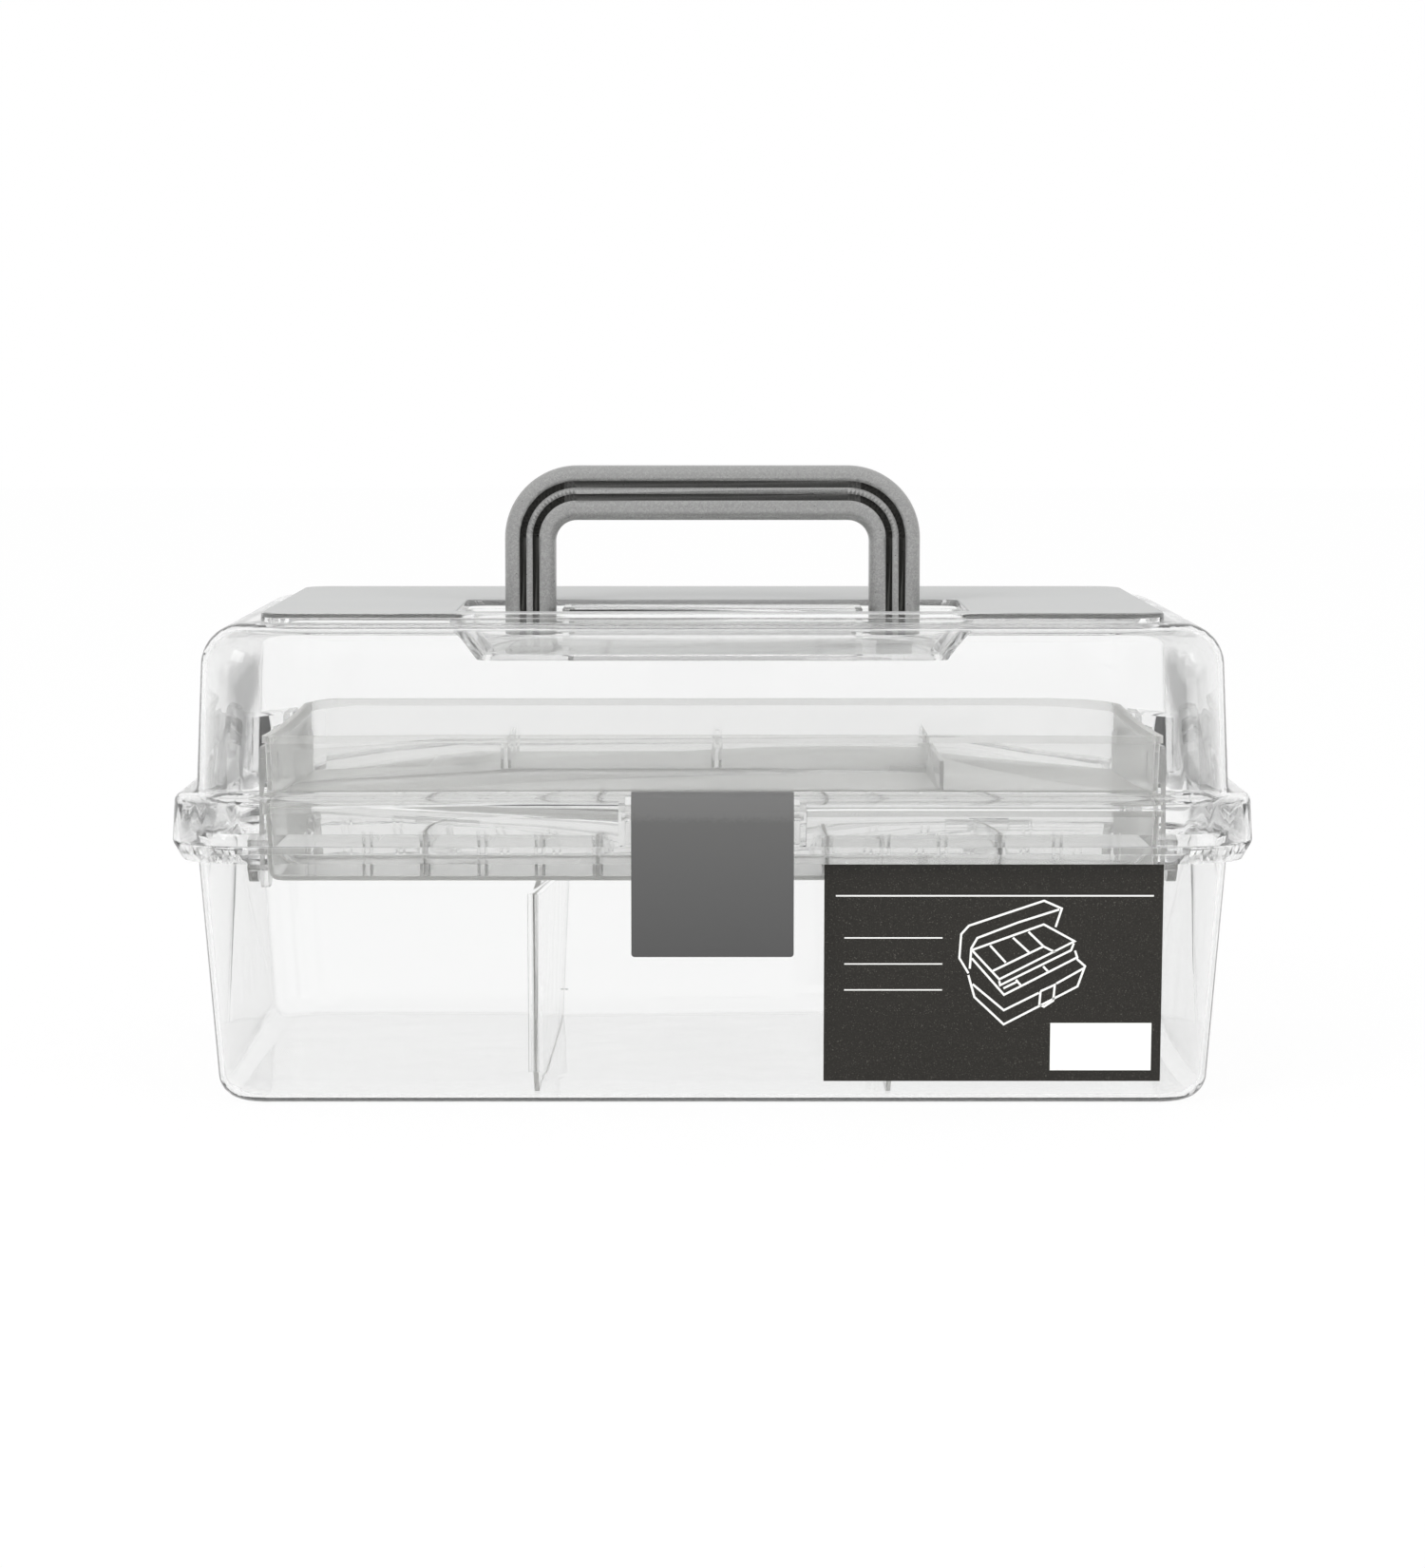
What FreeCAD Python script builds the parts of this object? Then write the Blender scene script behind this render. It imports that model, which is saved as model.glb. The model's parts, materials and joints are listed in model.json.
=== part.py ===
import FreeCAD, Part
import math
import os
import re
import Sketcher

# Clear carry box for art supplies: a deep bin, a hinged lid with a fold-down handle and a
# front latch, and two trays that rise and swing back on arms as the lid opens.
# Origin at the middle of the underside, +X to the right, -Y to the front, +Z up, millimetres.

SIZES = {
    # Rim that the lid and the bin meet at, and the walls that run up and down from it.
    "rim_width": 330,
    "rim_depth": 200,
    "rim_corner": 23,
    "rim_overhang": 7.3,
    "wall": 2,
    "wall_corner": 16,
    # Bin.
    "base_height": 80.8,
    "base_draft": 4,
    "base_floor": 2.2,
    "bottom_round": 8,
    "flange_drop": 5.2,
    "flange_taper": 2.5,
    "flange_ledge": 2,
    "flange_step": 0.4,
    "lip_height": 3.5,
    "lip_relief": 6,
    # Lid.
    "parting_gap": 0.3,
    "lid_height": 66.2,
    "lid_draft": 2.3,
    "lid_round": 13,
    "skirt_height": 14.6,
    "skirt_lean": 0.7,
    "skirt_round": 2.5,
    "rim_ledge": 2,
    "panel_width": 277.5,
    "panel_setback": 25,
    "panel_corner": 10,
    "panel_rise": 3,
    "panel_round": 1.2,
    # Rear hinge.
    "knuckle_radius": 4,
    "knuckle_gap": 0.4,
    "hinge_gap": 0.3,
    "hinge_lift": 0.2,
    "hinge_spread": 95,
    "lid_knuckle": 14,
    "base_knuckle": 8,
    "hinge_pin_radius": 1.5,
    "running_clearance": 0.06,
    # Bin dividers and the guides that hold them.
    "bin_spacing": 54,
    "bin_divider_height": 63.4,
    "bin_divider_thick": 1.6,
    "guide_thick": 1.2,
    "guide_depth": 3,
    "divider_clearance": 0.15,
    "divider_end_gap": 0.4,
    # Trays.
    "tray_margin": 19.8,
    "tray_front_gap": 20,
    "tray_rear_gap": 38,
    "tray_corner": 6,
    "tray_wall": 1.6,
    "tray_floor": 1.6,
    "tray_draft": 2,
    "tray_round": 3,
    "bead_out": 0.8,
    "bead_height": 2.2,
    "tray_clear": 2.4,
    "lower_height": 24,
    "stack_gap": 2.4,
    "upper_height": 18.6,
    "slot_pitch": 17.6,
    "slot_count": 15,
    "rib_thick": 0.9,
    "rib_depth": 1.4,
    "tray_divider_thick": 1.2,
    "tray_divider_height": 14.5,
    "long_divider_y": -4,
    "long_divider_height": 9.2,
    "upper_divider_height": 8,
    "partition_x": 70,
    # Arms that carry the trays.
    "crank_length": 44,
    "crank_angle": 10,
    "front_pivot_y": -5,
    "front_pivot_z": 77.4,
    "bracket_gap": 0.6,
    "bracket_thick": 2.5,
    "bracket_half": 7,
    "bracket_bar": 11,
    "bracket_drop": 2,
    "arm_gap": 1,
    "arm_thick": 3,
    "arm_half": 5.5,
    "boss_gap": 0.5,
    "boss_radius": 6,
    "pivot_radius": 2,
    "lid_boss_setback": 23,
    "lid_boss_long": 21,
    "lid_boss_low": 97.5,
    "lid_boss_high": 111,
    "rivet_radius": 1.8,
    "rivet_inset": 5.4,
    "rivet_grip": 5,
    "lug_thick": 3,
    "lug_half": 4.5,
    "lug_root": 24,
    # Front latch and the rod that it turns on.
    "latch_width": 48.8,
    "latch_side_gap": 1.95,
    "latch_front": 4.2,
    "latch_thick": 2.5,
    "latch_cap": 6.6,
    "latch_tail": 43,
    "latch_round": 1,
    "rod_drop": 4.1,
    "rod_inset": 0.2,
    "rod_radius": 2.3,
    "barrel_wall": 2,
    "snap_mouth": 3.4,
    "catch_depth": 0.9,
    "catch_height": 2,
    "catch_gap": 0.3,
    # Handle and the well that it folds into.
    "handle_width": 132.2,
    "handle_rise": 50,
    "handle_leg": 16.2,
    "handle_bar": 17.3,
    "handle_thick": 12,
    "handle_corner": 23,
    "handle_round": 3.4,
    "handle_setback": 86,
    "groove_first": 4.8,
    "groove_second": 8.9,
    "groove_wide": 2.1,
    "groove_deep": 1.8,
    "foot_tab": 2,
    "stub_radius": 2.5,
    "island_gap": 2.6,
    "finger_gap": 14,
    "fold_gap": 0.3,
    "well_depth": 13,
    "well_side": 4.5,
    "well_flare": 8.5,
    "well_gap": 3,
    "well_corner": 4,
    "island_drop": 1.5,
    # Label on the front wall.
    "label_x": 85.2,
    "label_width": 102.7,
    "label_height": 67.3,
    "label_bottom": 7.8,
    "label_thick": 0.2,
    "label_gap": 0.05,
}

PLACES = {
    # Walls, rim and heights.
    "wall_width": "rim_width - 2 * rim_overhang",
    "wall_depth": "rim_depth - 2 * rim_overhang",
    "base_lean": "base_height * tan(base_draft)",
    "foot_width": "wall_width - 2 * base_lean",
    "foot_depth": "wall_depth - 2 * base_lean",
    "lip_lean": "lip_height * tan(base_draft)",
    "floor_lean": "base_floor * tan(base_draft)",
    "lip_top": "base_height + lip_height",
    "flange_bottom": "base_height - flange_drop",
    "flange_width": "rim_width - 2 * flange_step",
    "flange_depth": "rim_depth - 2 * flange_step",
    "lid_bottom": "base_height + parting_gap",
    "rim_top": "base_height + skirt_height",
    "ledge_bottom": "rim_top - rim_ledge",
    "lid_shoulder": "base_height + lid_height",
    "lid_top": "lid_shoulder + panel_rise",
    "shoulder_lean": "(lid_shoulder - ledge_bottom) * tan(lid_draft)",
    "shoulder_width": "wall_width - 2 * shoulder_lean",
    "shoulder_depth": "wall_depth - 2 * shoulder_lean",
    "panel_depth": "rim_depth - 2 * panel_setback",
    # Hinge axis and the crank that lifts the trays.
    "hinge_y": "rim_depth / 2 + hinge_gap + knuckle_radius",
    "hinge_z": "lid_bottom + hinge_lift",
    "reach_y": "crank_length * cos(crank_angle)",
    "reach_z": "crank_length * sin(crank_angle)",
    "top_rear_y": "hinge_y - reach_y",
    "top_rear_z": "hinge_z - reach_z",
    "low_rear_y": "hinge_y - reach_y / 2",
    "low_rear_z": "hinge_z - reach_z / 2",
    "top_front_y": "front_pivot_y - reach_y",
    "top_front_z": "front_pivot_z - reach_z",
    "low_front_y": "front_pivot_y - reach_y / 2",
    "low_front_z": "front_pivot_z - reach_z / 2",
    # Layers of brackets, arms and bosses between the trays' ends and the walls.
    "tray_width": "wall_width - 2 * tray_margin",
    "bracket_inner": "tray_width / 2 + bracket_gap",
    "bracket_outer": "bracket_inner + bracket_thick",
    "arm_inner": "bracket_outer + arm_gap",
    "arm_outer": "arm_inner + arm_thick",
    "base_boss_face": "arm_outer + boss_gap",
    "boss_root": "wall_width / 2 - wall",
    "lug_inner": "tray_width / 2 - lug_thick",
    "lid_boss_back": "rim_depth / 2 - lid_boss_setback",
    "lid_boss_front": "lid_boss_back - lid_boss_long",
    # Trays' depth and heights.
    "tray_depth": "rim_depth - tray_front_gap - tray_rear_gap",
    "tray_middle": "(tray_front_gap - tray_rear_gap) / 2",
    "bin_divider_top": "base_floor + bin_divider_height",
    "lower_bottom": "bin_divider_top + tray_clear",
    "lower_top": "lower_bottom + lower_height",
    "upper_bottom": "lower_top + stack_gap",
    "upper_top": "upper_bottom + upper_height",
    "tray_front": "tray_middle - tray_depth / 2 + bead_out",
    "tray_back": "tray_middle + tray_depth / 2 - bead_out",
    "bracket_high": "upper_top - bead_height - bracket_drop",
    "bracket_low": "bracket_high - bracket_bar",
    # Latch.
    "rod_y": "rod_inset - rim_depth / 2",
    "rod_z": "rim_top - rod_drop",
    "notch_half": "latch_width / 2 + latch_side_gap",
    "barrel_bore": "rod_radius + running_clearance",
    "barrel_radius": "barrel_bore + barrel_wall",
    "latch_face": "rod_y - latch_front",
    "latch_inside": "latch_face + latch_thick",
    "latch_bottom": "rod_z - latch_tail",
    "catch_top": "flange_bottom - catch_gap",
    # Handle.
    "handle_y": "handle_setback - rim_depth / 2",
    "well_floor": "lid_top - well_depth",
    "handle_z": "well_floor + fold_gap + handle_thick / 2",
    "handle_top": "handle_z + handle_rise",
    "leg_inner": "handle_width / 2 - handle_leg",
    "island_half": "leg_inner - island_gap",
    "island_top": "lid_top - island_drop",
    "island_front": "handle_y - handle_rise + handle_bar + finger_gap",
    "well_width": "handle_width + 2 * well_side",
    "well_front": "handle_y - handle_rise - well_gap",
    "well_back": "handle_y + handle_thick / 2 + well_gap",
    "well_long": "well_back - well_front",
    "well_middle": "(well_back + well_front) / 2",
}

doc = FreeCAD.newDocument("carry_box")
sizes = doc.addObject("Spreadsheet::Sheet", "sizes")
places = doc.addObject("Spreadsheet::Sheet", "places")


nodes = []


def bound(formula):
    """The formula with each size's name turned into its cell."""
    def cell(match):
        name = match.group()
        if name in SIZES:
            return f"sizes.{name}"
        if name in PLACES:
            return f"places.{name}"
        return name
    return re.sub(r"[a-z_]+", cell, formula)


for row, (name, size) in enumerate(SIZES.items(), start=1):
    sizes.set(f"A{row}", name)
    sizes.set(f"B{row}", str(size))
    sizes.setAlias(f"B{row}", name)
doc.recompute()
for row, (name, formula) in enumerate(PLACES.items(), start=1):
    places.set(f"A{row}", name)
    places.set(f"B{row}", "=" + bound(formula))
    places.setAlias(f"B{row}", name)
doc.recompute()


def value(formula):
    """The formula worked out for the piece in hand."""
    return float(nodes[-1].evalExpression(bound(formula)))


def new_body(label):
    body = doc.addObject("PartDesign::Body", label)
    body.Label = label
    nodes.append(body)
    return body


def sketch_on(body, role, offset="0"):
    """A sketch on one of the body's planes, moved along the plane's normal."""
    plane = next(item for item in body.Origin.OriginFeatures if item.Role == role)
    sketch = body.newObject("Sketcher::SketchObject", "sketch")
    sketch.AttachmentSupport = [(plane, "")]
    sketch.MapMode = "FlatFace"
    sketch.setExpression("AttachmentOffset.Base.z", bound(offset))
    return sketch


def fix(sketch, kind, geometry, point, formula):
    """A dimension of the sketch that follows a formula."""
    amount = float(sketch.evalExpression(bound(formula)))
    if point is None:
        index = sketch.addConstraint(Sketcher.Constraint(kind, geometry, amount))
    else:
        index = sketch.addConstraint(Sketcher.Constraint(kind, geometry, point, amount))
    sketch.setExpression(f"Constraints[{index}]", bound(formula))


def outline(sketch, steps):
    """A closed outline, left turning. Each step is a point (x, y) that a line leads to, or
    (x, y, radius) where an arc leads to it; a radius with a minus sign bends to the right."""
    points = []
    for step in steps:
        x = float(sketch.evalExpression(bound(step[0])))
        y = float(sketch.evalExpression(bound(step[1])))
        points.append(FreeCAD.Vector(x, y, 0))
    ends = []
    for index, step in enumerate(steps):
        start = points[index - 1]
        end = points[index]
        if len(step) == 2:
            geometry = sketch.addGeometry(Part.LineSegment(start, end), False)
            ends.append((geometry, 1, 2))
            continue
        right_turn = step[2].startswith("-")
        if right_turn:
            start, end = end, start
        radius = abs(float(sketch.evalExpression(bound(step[2]))))
        chord = end - start
        left = FreeCAD.Vector(-chord.y, chord.x, 0).normalize()
        sagitta = math.sqrt(max(radius ** 2 - (chord.Length / 2) ** 2, 0))
        centre = (start + end) / 2 + left * sagitta
        first = math.atan2(start.y - centre.y, start.x - centre.x)
        last = math.atan2(end.y - centre.y, end.x - centre.x)
        if last < first:
            last += 2 * math.pi
        circle = Part.Circle(centre, FreeCAD.Vector(0, 0, 1), radius)
        geometry = sketch.addGeometry(Part.ArcOfCircle(circle, first, last), False)
        fix(sketch, "Radius", geometry, None, step[2].lstrip("-"))
        ends.append((geometry, 2, 1) if right_turn else (geometry, 1, 2))
    for index, (geometry, first, last) in enumerate(ends):
        before = ends[index - 1]
        sketch.addConstraint(Sketcher.Constraint("Coincident", before[0], before[2], geometry, first))
        fix(sketch, "DistanceX", geometry, last, steps[index][0])
        fix(sketch, "DistanceY", geometry, last, steps[index][1])
    return sketch


def circle(sketch, x, y, radius):
    shape = Part.Circle(FreeCAD.Vector(0, 0, 0), FreeCAD.Vector(0, 0, 1), 1)
    geometry = sketch.addGeometry(shape, False)
    fix(sketch, "Radius", geometry, None, radius)
    fix(sketch, "DistanceX", geometry, 3, x)
    fix(sketch, "DistanceY", geometry, 3, y)
    return sketch


def rectangle(sketch, left, right, low, high):
    return outline(sketch, [(left, low), (right, low), (right, high), (left, high)])


def rounded_rectangle(sketch, width, depth, corner, middle="0"):
    right = f"({width}) / 2"
    front = f"{middle} - ({depth}) / 2"
    back = f"{middle} + ({depth}) / 2"
    return outline(sketch, [
        (f"{right} - ({corner})", front),
        (right, f"{front} + {corner}", corner),
        (right, f"{back} - ({corner})"),
        (f"{right} - ({corner})", back, corner),
        (f"{corner} - {right}", back),
        (f"-{right}", f"{back} - ({corner})", corner),
        (f"-{right}", f"{front} + {corner}"),
        (f"{corner} - {right}", front, corner)])


def section(body, height, width, depth, corner, middle="0"):
    return rounded_rectangle(sketch_on(body, "XY_Plane", height), width, depth, corner, middle)


def extrude(body, kind, sketch, length, back=False, both_ways=False):
    """A Pad or Pocket of the sketch, which has to change the body's volume."""
    before = body.Shape.Volume if body.Tip else 0.0
    made = body.newObject(f"PartDesign::{kind}", kind.lower())
    made.Profile = sketch
    made.setExpression("Length", bound(length))
    made.Reversed = back
    if both_ways:
        made.SideType = "Symmetric"
    doc.recompute()
    if abs(made.Shape.Volume - before) < 1e-6:
        raise RuntimeError(f"{body.Label}: a {kind} changed nothing")
    return made


def pad(body, sketch, length, **way):
    return extrude(body, "Pad", sketch, length, **way)


def pocket(body, sketch, length, **way):
    return extrude(body, "Pocket", sketch, length, **way)


def fillet(body, test, radius):
    """Rounds the edges of the body so far whose corners and middle pass the test."""
    base = body.Tip
    names = []
    for index, edge in enumerate(base.Shape.Edges, start=1):
        middle = edge.valueAt((edge.FirstParameter + edge.LastParameter) / 2)
        spots = [vertex.Point for vertex in edge.Vertexes] + [middle]
        if test(edge, spots):
            names.append(f"Edge{index}")
    made = body.newObject("PartDesign::Fillet", "fillet")
    made.Base = (base, names)
    made.setExpression("Radius", bound(radius))
    doc.recompute()
    return made


def at_height(formula):
    height = value(formula)
    return lambda edge, spots: all(abs(spot.z - height) < 1e-4 for spot in spots)


def along_x(edge, spots):
    way = spots[0] - spots[-1]
    return abs(way.y) < 1e-6 and abs(way.z) < 1e-6


def rod(label, x, y, z, radius, length):
    """A round pin along X that starts at x."""
    pin = doc.addObject("Part::Cylinder", label)
    pin.Placement = FreeCAD.Placement(
        FreeCAD.Vector(0, 0, 0), FreeCAD.Rotation(FreeCAD.Vector(0, 1, 0), 90))
    for name, formula in (("Radius", radius), ("Height", length), ("Placement.Base.x", x),
                          ("Placement.Base.y", y), ("Placement.Base.z", z)):
        pin.setExpression(name, bound(formula))
    pin.Label = label
    return pin


def group(label, members):
    made = doc.addObject("Part::Compound", label)
    made.Links = members
    made.Label = label
    nodes.append(made)
    return made


def wedge(body, low, high, size, top_size, corner, middle="0"):
    """A drafted block from its size (width, depth) at the low end to its size at the high one,
    with its four standing edges rounded."""
    plane = next(item for item in body.Origin.OriginFeatures if item.Role == "XZ_Plane")
    made = body.newObject("PartDesign::AdditiveWedge", "wedge")
    made.AttachmentSupport = [(plane, "")]
    made.MapMode = "FlatFace"
    for name, formula in (
            ("Ymin", low), ("Ymax", high),
            ("Xmin", f"-({size[0]}) / 2"), ("Xmax", f"({size[0]}) / 2"),
            ("Zmin", f"-({size[1]}) / 2 - ({middle})"), ("Zmax", f"({size[1]}) / 2 - ({middle})"),
            ("X2min", f"-({top_size[0]}) / 2"), ("X2max", f"({top_size[0]}) / 2"),
            ("Z2min", f"-({top_size[1]}) / 2 - ({middle})"),
            ("Z2max", f"({top_size[1]}) / 2 - ({middle})")):
        made.setExpression(name, bound(formula))
    doc.recompute()
    bottom = value(low)
    height = value(high) - bottom
    start = [value(f"({side}) / 2") for side in size]
    end = [value(f"({side}) / 2") for side in top_size]
    centre = value(middle)

    def standing(edge, spots):
        """Edges that climb at the block's own corners."""
        if abs(spots[0].z - spots[1].z) < 1e-3:
            return False
        for spot in spots:
            share = (spot.z - bottom) / height
            half_width = start[0] + share * (end[0] - start[0])
            half_depth = start[1] + share * (end[1] - start[1])
            if abs(abs(spot.x) - half_width) > 1e-3:
                return False
            if abs(abs(spot.y - centre) - half_depth) > 1e-3:
                return False
        return True

    return fillet(body, standing, corner)


def cut_away(body, cavity):
    """Takes the solid of another body out of this one."""
    made = body.newObject("PartDesign::Boolean", "hollow")
    made.Type = "Cut"
    made.setObjects([cavity])
    doc.recompute()
    return made


def new_cavity(label):
    return doc.addObject("PartDesign::Body", label)


SIDES = ((-1, "left"), (1, "right"))
# Two rivets hold each rear arm to the lid, at opposite corners of the boss.
RIVETS = (("lid_boss_front + rivet_inset", "lid_boss_high - rivet_inset"),
          ("lid_boss_back - rivet_inset", "lid_boss_low + rivet_inset"))


# Bin: drafted walls, rounded floor, hollow flange under the parting line, low lip above it.
def build_base():
    body = new_body("base_bin")
    foot = ("foot_width", "foot_depth")
    top = ("wall_width + 2 * lip_lean", "wall_depth + 2 * lip_lean")
    wedge(body, "0", "lip_top", foot, top, "wall_corner")
    fillet(body, at_height("0"), "bottom_round")
    flange_low = ("flange_width - 2 * flange_taper", "flange_depth - 2 * flange_taper")
    wedge(body, "flange_bottom", "base_height", flange_low,
          ("flange_width", "flange_depth"), "rim_corner")
    channel = section(body, "flange_bottom", f"{flange_low[0]} - 2 * wall", f"{flange_low[1]} - 2 * wall",
                      "rim_corner - wall")
    rounded_rectangle(channel, "wall_width", "wall_depth", "wall_corner")
    pocket(body, channel, "flange_drop - flange_ledge", back=True)
    inside = [f"{side} + 2 * floor_lean - 2 * wall" for side in foot]
    inside_top = [f"{side} - 2 * wall" for side in top]
    cavity = new_cavity("bin_cavity")
    wedge(cavity, "base_floor", "lip_top", inside, inside_top, "wall_corner - wall")
    fillet(cavity, at_height("base_floor"), "bottom_round - wall")
    cut_away(body, cavity)
    # The lip stops short of the latch, where the lid's own wall comes down.
    gap = sketch_on(body, "XY_Plane", "lip_top")
    rectangle(gap, "-notch_half - lip_relief", "notch_half + lip_relief",
              "-wall_depth / 2 - wall", "-wall_depth / 2 + 2 * wall")
    pocket(body, gap, "lip_height")
    # Guides for the dividers, on the front and back walls.
    low = "bottom_round + base_floor"
    for side in (-1, 1):
        for face in (-1, 1):
            middle = (f"{side} * bin_spacing + {face} * (bin_divider_thick / 2 + divider_clearance"
                      " + guide_thick / 2)")
            sketch = sketch_on(body, "YZ_Plane", middle)
            for end in (-1, 1):
                near = f"{end} * (foot_depth / 2 - wall + ({low}) * tan(base_draft)"
                far = f"{end} * (foot_depth / 2 - wall + bin_divider_top * tan(base_draft)"
                steps = [(f"{near} - guide_depth)", low), (f"{near} + wall / 2)", low),
                         (f"{far} + wall / 2)", "bin_divider_top"),
                         (f"{far} - guide_depth)", "bin_divider_top")]
                outline(sketch, steps if end == 1 else steps[::-1])
            pad(body, sketch, "guide_thick", both_ways=True)
    # Bosses on the side walls for the front arms' pivots.
    for side in (-1, 1):
        sketch = sketch_on(body, "YZ_Plane", f"{side} * base_boss_face")
        circle(sketch, "front_pivot_y", "front_pivot_z", "boss_radius")
        pad(body, sketch, "boss_root - base_boss_face", back=side < 0)
        hole = sketch_on(body, "YZ_Plane", f"{side} * base_boss_face")
        circle(hole, "front_pivot_y", "front_pivot_z", "pivot_radius + running_clearance")
        pocket(body, hole, "rivet_grip", back=side > 0)
    # Hinge knuckles behind the flange.
    front = "rim_depth / 2 - flange_step - wall"
    for side in (-1, 1):
        for end in (-1, 1):
            middle = (f"{side} * hinge_spread + {end} * (lid_knuckle / 2 + knuckle_gap"
                      " + base_knuckle / 2)")
            sketch = sketch_on(body, "YZ_Plane", middle)
            rectangle(sketch, front, "hinge_y", "hinge_z - knuckle_radius", "base_height")
            pad(body, sketch, "base_knuckle", both_ways=True)
            barrel = sketch_on(body, "YZ_Plane", middle)
            circle(barrel, "hinge_y", "hinge_z", "knuckle_radius")
            pad(body, barrel, "base_knuckle", both_ways=True)
    bore = sketch_on(body, "YZ_Plane")
    circle(bore, "hinge_y", "hinge_z", "hinge_pin_radius + running_clearance")
    pocket(body, bore, "rim_width", both_ways=True)


# Bin dividers: thin cross plates that drop in between the guides and stand on the floor.
def build_bin_dividers():
    low = "foot_depth / 2 - wall + floor_lean - divider_end_gap"
    knee = "bottom_round"
    for side, name in SIDES:
        body = new_body(f"bin_divider_{name}")
        sketch = sketch_on(body, "YZ_Plane", f"{side} * bin_spacing")
        bend = f"{low} + {knee} * tan(base_draft)"
        top = f"{low} + bin_divider_height * tan(base_draft)"
        outline(sketch, [
            (f"{knee} - ({low})", "base_floor"),
            (f"{low} - {knee}", "base_floor"),
            (bend, f"base_floor + {knee}"),
            (top, "bin_divider_top"),
            (f"-({top})", "bin_divider_top"),
            (f"-({bend})", f"base_floor + {knee}")])
        pad(body, sketch, "bin_divider_thick", both_ways=True)


# Lid: drafted cover with a raised top panel, a hollow rim that stands on the bin's flange,
# a sunk well for the handle and a notch with a moulded rod for the latch.
def build_lid():
    body = new_body("lid")
    brow = ("wall_width", "wall_depth")
    crown = ("shoulder_width", "shoulder_depth")
    wedge(body, "ledge_bottom", "lid_shoulder", brow, crown, "wall_corner")
    fillet(body, at_height("lid_shoulder"), "lid_round")
    pad(body, section(body, "lid_shoulder", "panel_width", "panel_depth", "panel_corner"), "panel_rise")
    fillet(body, at_height("lid_top"), "panel_round")
    wedge(body, "lid_bottom", "rim_top", ("rim_width", "rim_depth"),
          ("rim_width - 2 * skirt_lean", "rim_depth - 2 * skirt_lean"), "rim_corner")
    half_rim = value("rim_width / 2 - skirt_lean")
    half_deep = value("rim_depth / 2 - skirt_lean")
    rim_top = value("rim_top")
    corner = value("rim_corner")

    def outer_rim(edge, spots):
        """Edges of the rim's top, out at its edge."""
        if any(abs(spot.z - rim_top) > 1e-4 for spot in spots):
            return False
        return all(abs(spot.x) > half_rim - corner or abs(spot.y) > half_deep - 1e-3 for spot in spots)

    fillet(body, outer_rim, "skirt_round")
    # Hollow under the cover, under the panel and inside the rim.
    cavity = new_cavity("lid_cavity")
    wedge(cavity, "ledge_bottom", "lid_shoulder - wall", [f"{side} - 2 * wall" for side in brow],
          [f"{side} - 2 * wall" for side in crown], "wall_corner - wall")
    fillet(cavity, at_height("lid_shoulder - wall"), "lid_round - wall")
    cut_away(body, cavity)
    pocket(body, section(body, "lid_shoulder - wall", "panel_width - 2 * wall",
                         "panel_depth - 2 * wall", "panel_corner - wall"), "panel_rise", back=True)
    pocket(body, section(body, "lid_bottom", "rim_width - 2 * wall", "rim_depth - 2 * wall",
                         "rim_corner - wall"), "ledge_bottom - lid_bottom", back=True)
    # Notch in the front rim, closed by a wall behind and one at each end, with the latch's rod.
    notch = sketch_on(body, "XY_Plane", "lid_bottom")
    rectangle(notch, "-notch_half", "notch_half", "-rim_depth / 2 - wall", "-wall_depth / 2")
    pocket(body, notch, "skirt_height", back=True)
    back_wall = sketch_on(body, "XY_Plane", "lid_bottom")
    rectangle(back_wall, "-notch_half - wall", "notch_half + wall",
              "-wall_depth / 2", "-wall_depth / 2 + wall")
    pad(body, back_wall, "rim_top - lid_bottom")
    for side in (-1, 1):
        cheek = sketch_on(body, "XY_Plane", "lid_bottom")
        rectangle(cheek, f"{side} * (notch_half + wall / 2) - wall / 2",
                  f"{side} * (notch_half + wall / 2) + wall / 2",
                  "skirt_lean + skirt_round / 2 - rim_depth / 2", "-wall_depth / 2 + wall / 2")
        pad(body, cheek, "ledge_bottom + rim_ledge / 2 - lid_bottom")
    axle = sketch_on(body, "YZ_Plane")
    circle(axle, "rod_y", "rod_z", "rod_radius")
    pad(body, axle, "2 * notch_half + wall", both_ways=True)
    # Handle well: a flared tray sunk into the top, with a hollow island between the handle's legs.
    flared = "well_width + 2 * well_flare"
    wedge(body, "well_floor - wall", "lid_shoulder", ("well_width + 2 * wall", "well_long + 2 * wall"),
          (f"{flared} + 2 * wall", "well_long + 2 * wall"), "well_corner + wall", "well_middle")
    well = new_cavity("well_cavity")
    wedge(well, "well_floor", "lid_top", ("well_width", "well_long"), (flared, "well_long"),
          "well_corner", "well_middle")
    cut_away(body, well)
    island = sketch_on(body, "XY_Plane", "well_floor - wall")
    rectangle(island, "-island_half", "island_half", "island_front", "well_back + wall / 2")
    pad(body, island, "island_top - well_floor + wall")
    hollow = sketch_on(body, "XY_Plane", "well_floor - wall")
    rectangle(hollow, "wall - island_half", "island_half - wall", "island_front + wall", "well_back")
    pocket(body, hollow, "island_top - well_floor", back=True)
    stub = sketch_on(body, "YZ_Plane")
    circle(stub, "handle_y", "handle_z", "stub_radius + running_clearance")
    pocket(body, stub, "2 * island_half + wall", both_ways=True)
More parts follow.
